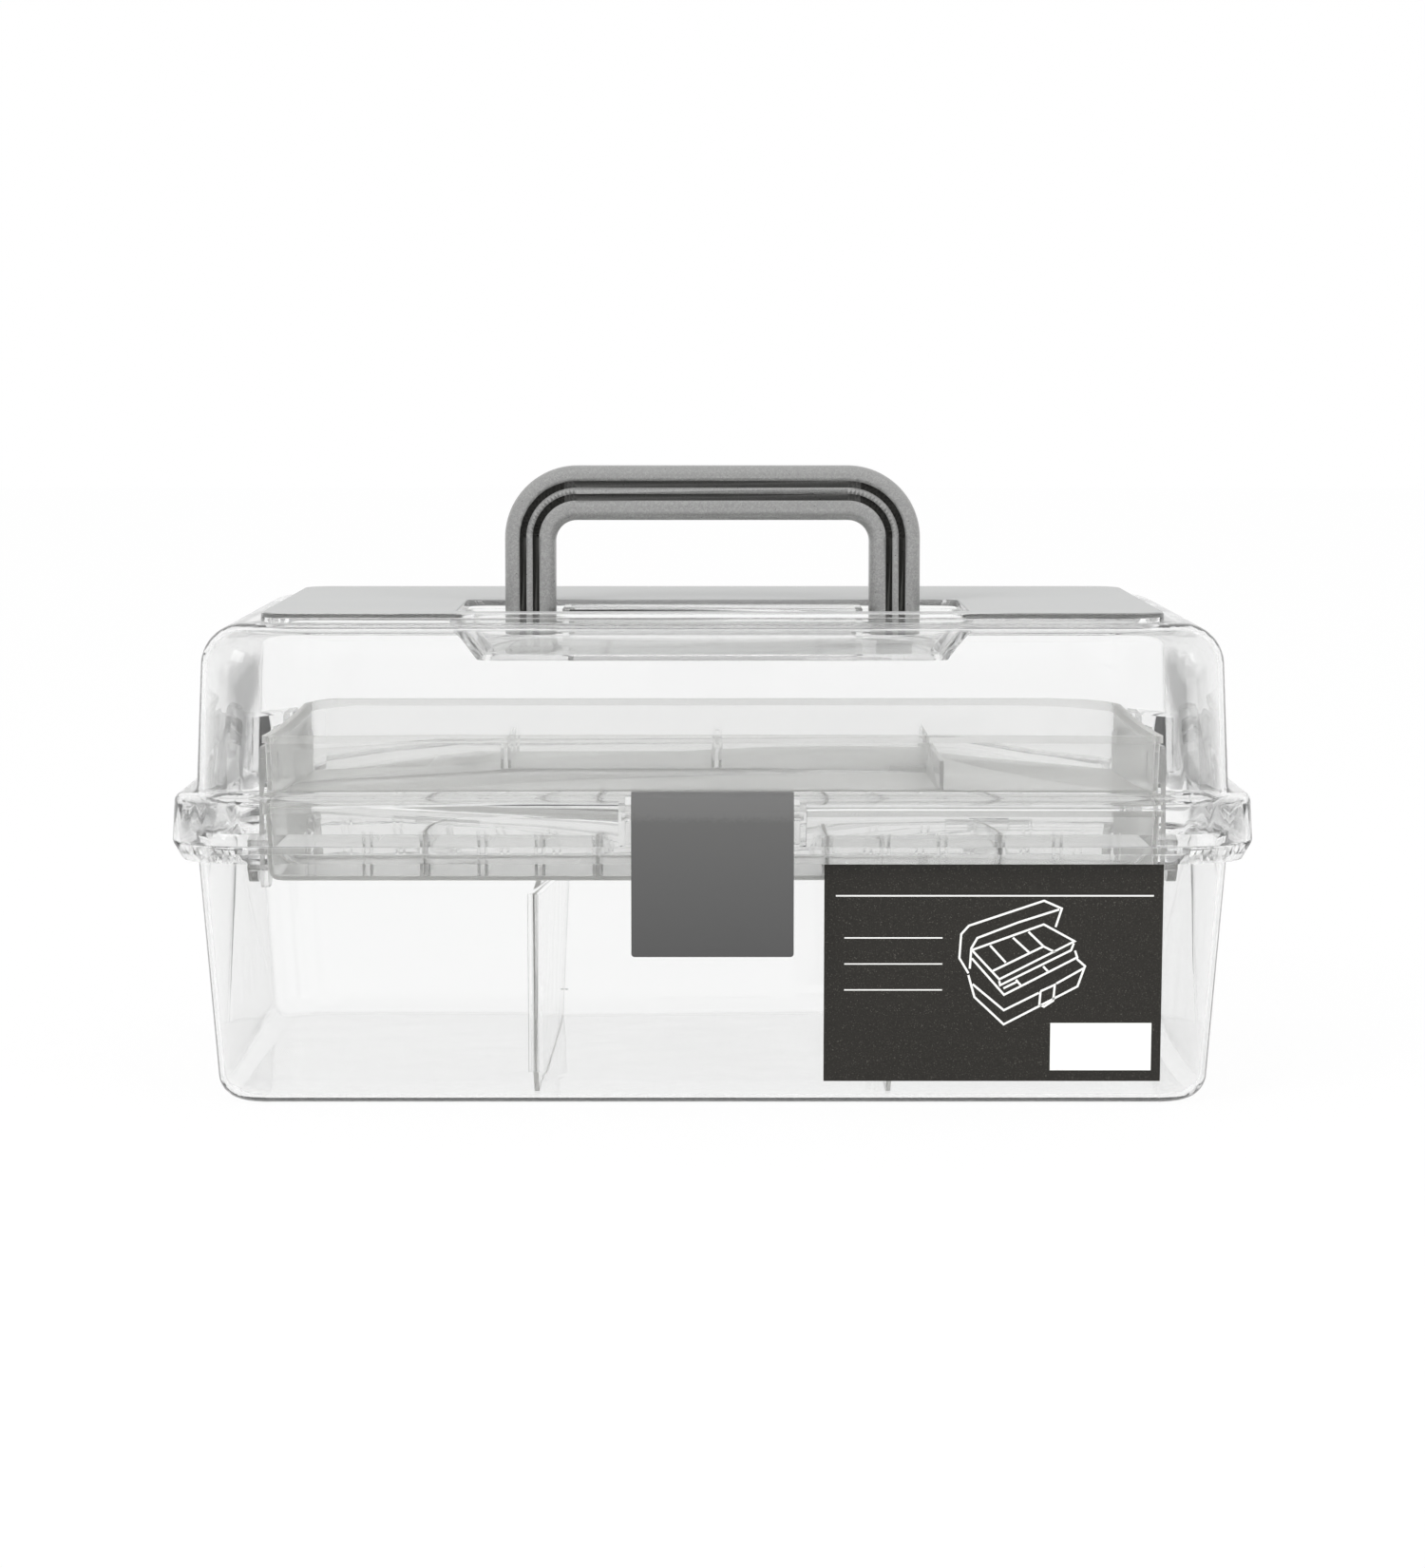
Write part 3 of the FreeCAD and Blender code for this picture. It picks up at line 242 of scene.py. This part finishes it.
# hair is how far the small clear parts are drawn in.
hair = 0.00005
milk_white = (0.66, 0.66, 0.64, 1)
tray_plastic = hazy_plastic(
    "milky_tray", (0.74, 0.74, 0.72, 1), haze=0.09, bend=1.04, gloss=0.1, frost=thick_beads)
sheet_plastic = hazy_plastic(
    "milky_divider", milk_white, haze=0.004, bend=1.02, gloss=0.02, frost=cut_edges)
thin_plastic = hazy_plastic("thin_divider", milk_white, haze=0.006, bend=1.02, gloss=0.03)
moulded("tray_low", "lower_tray", "lower_tray", tray_plastic)
moulded("tray_high", "upper_tray", "upper_tray", tray_plastic)
for side in ("left", "right"):
    moulded(f"bin_wall_{side}", f"bin_divider_{side}", "base", sheet_plastic, hair)
for count in range(1, 5):
    moulded(
        f"low_wall_{count}", f"lower_divider_{count}", "lower_tray", sheet_plastic, hair)
for count in range(1, 3):
    moulded(
        f"high_wall_{count}", f"upper_divider_{count}", "upper_tray", thin_plastic, hair)


# Arms, brackets and pins: flat milky links that lift the trays level as the lid swings open.
# They turn on short round pins, and rivets hold the rear pair to the lid.
link_plastic = hazy_plastic("milky_link", (0.6, 0.6, 0.585, 1), haze=0.06, bend=1.04, gloss=0.1)
pin_plastic = hazy_plastic("pin_plastic", (0.62, 0.62, 0.605, 1), haze=0.25, bend=1.04, gloss=0.1)
for side in ("left", "right"):
    moulded(f"rear_link_{side}", f"lid_arm_{side}", "lid", link_plastic, hair)
    moulded(f"front_link_{side}", f"front_arm_{side}", "front_arms", link_plastic, hair)
    moulded(
        f"end_plate_{side}", f"upper_tray_bracket_{side}", "upper_tray", link_plastic, hair)
    moulded(f"hinge_rod_{side}", f"hinge_pin_{side}", "base", pin_plastic, hair)
moulded("link_rivets", "lid_arm_rivets", "lid", pin_plastic, hair)
moulded("bin_pivots", "front_arm_pins", "base", pin_plastic, hair)
moulded("low_pivots", "lower_tray_pins", "lower_tray", pin_plastic, hair)
moulded("high_pivots", "upper_tray_pins", "upper_tray", pin_plastic, hair)


# Pin heads: a small chamfered cap of the pins' plastic on each tray pin, outside the arms. One node
# tree sets a cap at every point it is given, and each tray gets its own mesh of four.
cap_sizes = {"Radius": 0.0031, "Height": 0.00045, "Chamfer": 0.0004}


def cap_tree():
    """The node tree, and the identifier of each of its sizes."""
    tree = bpy.data.node_groups.new("pin_caps", "GeometryNodeTree")
    tree.interface.new_socket("Points", in_out="INPUT", socket_type="NodeSocketGeometry")
    entries = {name: tree.interface.new_socket(name, in_out="INPUT", socket_type="NodeSocketFloat")
               for name in cap_sizes}
    tree.interface.new_socket("Caps", in_out="OUTPUT", socket_type="NodeSocketGeometry")
    start = Socket(tree)
    points, radius, height, chamfer = (
        start.node("NodeGroupInput", out=name) for name in ("Points", "Radius", "Height", "Chamfer"))
    cap = start.node("GeometryNodeMeshCone", None, {
        "Vertices": 32, "Radius Bottom": radius, "Radius Top": radius - chamfer, "Depth": height})
    side = start.node("ShaderNodeSeparateXYZ", None, {
        "Vector": start.node("GeometryNodeInputPosition")}, out="X")
    outward = start.node("ShaderNodeCombineXYZ", None, {"X": side})
    turn = start.node("FunctionNodeAlignRotationToVector", {"axis": "Z"}, {"Vector": outward})
    caps = start.node("GeometryNodeInstanceOnPoints", None, {
        "Points": points, "Instance": cap, "Rotation": turn})
    solid = start.node("GeometryNodeRealizeInstances", None, {"Geometry": caps})
    done = start.node("GeometryNodeSetMaterial", None, {"Geometry": solid, "Material": pin_plastic})
    start.node("NodeGroupOutput", None, {"Caps": done})
    return tree, {name: entry.identifier for name, entry in entries.items()}


pivots = {joint["name"]: Vector(joint["pos_m"]) for joint in frame["joints"]}
caps, cap_entries = cap_tree()
arm_face = Vector((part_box("lid_arm_right")[1].x + hair, 0, 0))
for name, body in (("low_caps", "lower_tray"), ("high_caps", "upper_tray")):
    rear = pivots[f"{body}_swing"]
    front = rear + pivots["front_arm_swing"] - pivots["lid_hinge"]
    points = bpy.data.meshes.new(name)
    points.from_pydata([spot + side * arm_face for spot in (rear, front) for side in (-1, 1)], [], [])
    piece = bpy.data.objects.new(name, points)
    scene.collection.objects.link(piece)
    maker = piece.modifiers.new("caps", "NODES")
    maker.node_group = caps
    for entry, size in cap_sizes.items():
        maker[cap_entries[entry]] = size
    shape = piece.evaluated_get(bpy.context.evaluated_depsgraph_get())
    piece.data = bpy.data.meshes.new_from_object(shape)
    piece.modifiers.clear()
    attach(piece, body)


# Handle: one thick silver-grey U with fine bright flake in the plastic and two deep grooves round its
# front, with painted shade inside them, darker on the legs than on the bar. It swings on stubs at its feet
# and lies down in the lid's well.
def flake_plastic():
    corner = 0.023
    grooves = ((0.0046, 0.0071), (0.0087, 0.0112))
    groove_mouth = 0.0003
    groove_floor = 0.003
    leg_start = 0.004
    bar_painted_shade = 0.5
    leg_painted_shade = 0.35
    flakes_per_metre = 2400.0
    material, start = new_finish("silver_flake")
    low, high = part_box("handle")
    side = start.maths("MAXIMUM", abs(place(start, "X")) - (high.x - corner), 0.0)
    top = start.maths("MAXIMUM", place(start, "Z") - (high.z - corner), 0.0)
    inset = corner - start.maths("SQRT", side * side + top * top)
    outer, inner = ((inset > near) * (inset < far) for near, far in grooves)
    back = place(start, "Y")
    # Mask of the grooves' walls and floors, where the painted shade goes.
    painted_groove_shade = (outer + inner) * (back > low.y + groove_mouth) * (back < low.y + groove_floor)
    spot = start.node("ShaderNodeTexCoord", out="Object")
    flake = start.node("ShaderNodeTexVoronoi", None, {
        "Vector": spot, "Scale": flakes_per_metre}, out="Color")
    glint = start.node("ShaderNodeSeparateColor", None, {"Color": flake})
    cloud, normal = ripple(start, size=0.0012, depth=0.00003, detail=3.0)
    tone = start.node("ShaderNodeValToRGB", {"stops": [
        (0.0, (0.27, 0.27, 0.267, 1)), (0.55, (0.335, 0.335, 0.331, 1)), (1.0, (0.44, 0.44, 0.435, 1))]},
        {"Fac": 0.7 * glint + 0.3 * cloud})
    # Painted shade: the grooves are mixed towards near-black, more on the legs than on the bar.
    colour = start.node("ShaderNodeMix", {"data_type": "RGBA"}, {
        "Factor": (bar_painted_shade + leg_painted_shade * (side > leg_start)) * painted_groove_shade,
        6: tone, 7: (0.03, 0.03, 0.025, 1)}, out=2)
    shader = start.node("ShaderNodeBsdfPrincipled", None, {
        "Base Color": colour, "Metallic": 0.5 + 0.4 * glint, "Roughness": 0.24 + 0.12 * cloud,
        "Normal": normal})
    show(start, shader)
    return material


moulded("u_handle", "handle", "handle", flake_plastic())


# Latch: a plain mid-grey flap, smooth in front, that snaps on to the rod in the lid's rim. Its colour
# carries painted light: darker towards the bottom, with a lighter painted band in front of the rod where
# the lip would catch light from above.
def latch_plastic():
    speckle = 0.06
    material, start = new_finish("latch_grey")
    low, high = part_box("latch")
    grain, normal = ripple(start, size=0.0009, depth=0.00002, detail=3.0)
    # Painted light: the ramp runs from darker at the bottom to a lighter band at the top.
    height = (place(start, "Z") - low.z) * (1 / (high.z - low.z))
    tone = start.node("ShaderNodeValToRGB", {"stops": [
        (0.0, (0.058, 0.058, 0.058, 1)), (0.45, (0.073, 0.073, 0.073, 1)),
        (0.82, (0.088, 0.088, 0.087, 1)), (0.86, (0.115, 0.115, 0.114, 1)),
        (1.0, (0.125, 0.125, 0.124, 1))]},
        {"Fac": height + speckle * (grain - 0.5)})
    shader = start.node("ShaderNodeBsdfPrincipled", None, {
        "Base Color": tone, "Roughness": 0.28 + 0.12 * grain, "Specular IOR Level": 0.5, "Normal": normal})
    show(start, shader)
    return material


moulded("latch_flap", "latch", "latch", latch_plastic())


# Label: a charcoal printed film on the front of the bin, with a fine pale speckle in the ink,
# a rule under its top edge, ruled lines to write on, a blank pale panel and a line drawing of the box.
label_white = (0.8, 0.8, 0.78, 1)


def printed_film():
    """The film, with its rule, lines and panel as left, right, bottom and top shares of the label."""
    rule = (0.034, 0.972, 0.853, 0.86)
    line_height = 0.006
    ruled = [(0.06, 0.35, bottom, bottom + line_height) for bottom in (0.66, 0.54, 0.42)]
    panel = (0.672, 0.972, 0.05, 0.27)
    specks_per_metre = 2600.0
    material, start = new_finish("label_film")
    low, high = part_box("front_label")
    across = (place(start, "X") - low.x) * (1 / (high.x - low.x))
    up = (place(start, "Z") - low.z) * (1 / (high.z - low.z))
    spot = start.node("ShaderNodeTexCoord", out="Object")
    speck = start.node("ShaderNodeTexNoise", None, {
        "Vector": spot, "Scale": specks_per_metre, "Detail": 2.0, "Roughness": 0.6})

    def bar(left, right, bottom, top):
        return (across > left) * (across < right) * (up > bottom) * (up < top)

    pale = bar(*rule)
    for line in ruled:
        pale = pale + bar(*line)
    pale = pale + bar(*panel)
    charcoal = start.node("ShaderNodeValToRGB", {"stops": [
        (0.3, (0.013, 0.012, 0.01, 1)), (0.62, (0.022, 0.02, 0.017, 1)), (0.74, (0.1, 0.096, 0.084, 1))]},
        {"Fac": speck})
    colour = start.node("ShaderNodeMix", {"data_type": "RGBA"}, {
        "Factor": pale, 6: charcoal, 7: label_white}, out=2)
    shader = start.node("ShaderNodeBsdfPrincipled", None, {
        "Base Color": colour, "Roughness": 0.42 + 0.1 * speck, "Specular IOR Level": 0.25})
    show(start, shader)
    return material


def stroke(path, half):
    """Left and right edge of a drawn line, mitred at its corners."""
    sharpest = 0.5
    edges = []
    for at, point in enumerate(path):
        before = (point - path[max(at - 1, 0)]).normalized()
        after = (path[min(at + 1, len(path) - 1)] - point).normalized()
        along = (before + after).normalized()
        square = Vector((-along.y, along.x))
        lean = max(along.dot(after if after.length else before), sharpest)
        edges.append((point + square * half / lean, point - square * half / lean))
    return edges


moulded("label", "front_label", "base", printed_film())
# The drawing's lines, in millimetres from the label's lower left corner: the lid, the upper tray with
# its compartments, the lower tray, and the bin with its latch.
drawing = (
    ((43.9, 33.6), (41.1, 38.3), (41.6, 45.7), (43.9, 48.3), (66.6, 56.0), (72.0, 53.6), (70.2, 47.9)),
    ((44.3, 35.0), (44.7, 41.3), (46.5, 44.5), (59.1, 49.4), (71.2, 53.3)),
    ((45.4, 40.2), (45.0, 40.8), (66.6, 48.7), (76.0, 43.5), (53.3, 31.7), (45.4, 40.2)),
    ((53.3, 31.2), (53.6, 29.9), (75.0, 40.7), (75.8, 42.9)),
    ((50.4, 42.2), (55.2, 36.9)),
    ((57.3, 44.6), (62.2, 40.1)),
    ((62.0, 46.4), (66.4, 42.1)),
    ((51.3, 34.3), (66.6, 41.9), (70.2, 40.1)),
    ((44.9, 38.2), (54.8, 26.9), (76.9, 38.5), (76.2, 40.6)),
    ((54.6, 28.9), (58.6, 30.9)),
    ((58.4, 31.6), (59.9, 29.8)),
    ((66.6, 35.7), (68.2, 34.0)),
    ((43.9, 33.0), (45.8, 26.2), (54.8, 17.7), (77.1, 29.5), (79.3, 35.8), (76.8, 38.0)),
    ((45.2, 30.2), (54.8, 22.1), (65.4, 27.5)),
    ((70.7, 30.4), (79.0, 35.2)),
    ((65.9, 28.0), (65.6, 23.8), (67.0, 23.2), (69.8, 25.1), (70.2, 30.0), (65.9, 28.0)))
low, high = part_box("front_label")
film = 0.0002
ink_lift = 0.00004
half_line = 0.00033
spots, faces = [], []
for path in drawing:
    edges = stroke([Vector(point) / 1000 for point in path], half_line)
    for at, pair in enumerate(edges):
        if at:
            last = len(spots)
            faces.append((last - 2, last - 1, last + 1, last))
        for spot in pair:
            climb = spot.y / (high.z - low.z)
            label_face = (high.y - film) * (1 - climb) + low.y * climb
            spots.append((low.x + spot.x, label_face - ink_lift, low.z + spot.y))
lines_mesh = bpy.data.meshes.new("label_drawing")
lines_mesh.from_pydata(spots, [], faces)
white_ink, ink_start = new_finish("white_ink")
show(ink_start, ink_start.node("ShaderNodeBsdfPrincipled", None, {
    "Base Color": label_white, "Roughness": 0.5}))
lines_mesh.materials.append(white_ink)
lines = bpy.data.objects.new("label_drawing", lines_mesh)
scene.collection.objects.link(lines)
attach(lines, "base")


# Floor and surroundings: a white sweep behind the box, a bright ceiling, and darker sides that draw
# the edges of the clear walls. Past the floor's edge the camera sees plain white.
def white_floor():
    white_share = 0.95
    material, start = new_finish("floor_white")
    seen = start.node("ShaderNodeLightPath", out="Is Camera Ray")
    glossy = start.node("ShaderNodeLightPath", out="Is Glossy Ray")
    through = start.node("ShaderNodeLightPath", out="Is Transmission Ray")
    share = start.maths("MINIMUM", seen + glossy + through, 1.0)
    matt = start.node("ShaderNodeBsdfDiffuse", None, {"Color": (0.9, 0.9, 0.9, 1)})
    glow = start.node("ShaderNodeEmission", None, {"Color": (1, 1, 1, 1), "Strength": 1.0})
    show(start, start.node("ShaderNodeMixShader", None, {0: white_share * share, 1: matt, 2: glow}))
    return material


reach = 6.0
under = 0.0002
floor_mesh = bpy.data.meshes.new("floor")
floor_mesh.from_pydata(
    [(-reach, -reach, 0), (reach, -reach, 0), (reach, reach, 0), (-reach, reach, 0)], [], [(0, 1, 2, 3)])
floor_mesh.materials.append(white_floor())
floor = bpy.data.objects.new("floor", floor_mesh)
floor.location.z = -under
scene.collection.objects.link(floor)

world = bpy.data.worlds.new("studio")
world.use_nodes = True
world.node_tree.nodes.clear()
sky = Socket(world.node_tree)
heading = sky.node("ShaderNodeTexCoord", out="Generated")
ahead = sky.node("ShaderNodeSeparateXYZ", None, {"Vector": heading}, out="Y")
above = sky.node("ShaderNodeSeparateXYZ", None, {"Vector": heading}, out="Z")


def rise(measure, start_at, end_at):
    """A smooth step from 0 to 1 between two readings of the measure."""
    return sky.node("ShaderNodeMapRange", {"interpolation_type": "SMOOTHSTEP"}, {
        "Value": measure, "From Min": start_at, "From Max": end_at, "To Min": 0.0, "To Max": 1.0})


side_light = 0.86
ceiling_light = 0.6
backdrop = rise(ahead, start_at=0.15, end_at=0.5)
ceiling = rise(above, start_at=0.45, end_at=0.85)
seen = sky.node("ShaderNodeLightPath", out="Is Camera Ray")
lit = side_light + (1 - side_light) * backdrop + ceiling_light * ceiling + seen
glow = sky.node("ShaderNodeBackground", None, {
    "Color": (1, 1, 1, 1), "Strength": sky.maths("MINIMUM", lit, 1.0)})
sky.node("ShaderNodeOutputWorld", None, {"Surface": glow})
scene.world = world


def softbox(name, spot, target, width, height, watts):
    """A soft lamp that lights the box but isn't mirrored in its flat faces."""
    lamp = bpy.data.lights.new(name, "AREA")
    lamp.shape = "RECTANGLE"
    lamp.size = width
    lamp.size_y = height
    lamp.energy = watts
    holder = bpy.data.objects.new(name, lamp)
    holder.location = spot
    way = holder.location - target
    holder.rotation_euler = way.to_track_quat("Z", "Y").to_euler()
    holder.visible_glossy = False
    scene.collection.objects.link(holder)


middle = (cad_box[0] + cad_box[1]) / 2
softbox("key_left", (-1.1, -1.3, 1.1), middle, width=1.0, height=1.0, watts=16)
softbox("fill_right", (1.2, -1.2, 0.7), middle, width=0.8, height=1.0, watts=9)

# Camera: straight on, a little above the lid and tipped down at it, through a long lens. Light may pass
# enough faces to get through all the clear walls.
tip = 5.94
wall_passes = 32
camera = bpy.data.cameras.new("camera")
camera.lens = 93.3
camera.sensor_width = 36
viewer = bpy.data.objects.new("camera", camera)
viewer.location = (0, -1.312, 0.2263)
viewer.rotation_euler = (math.radians(90 - tip), 0, 0)
scene.collection.objects.link(viewer)
scene.camera = viewer

scene.view_settings.view_transform = "Standard"
scene.cycles.max_bounces = wall_passes
scene.cycles.transmission_bounces = wall_passes
scene.cycles.transparent_max_bounces = wall_passes
scene.cycles.glossy_bounces = 8
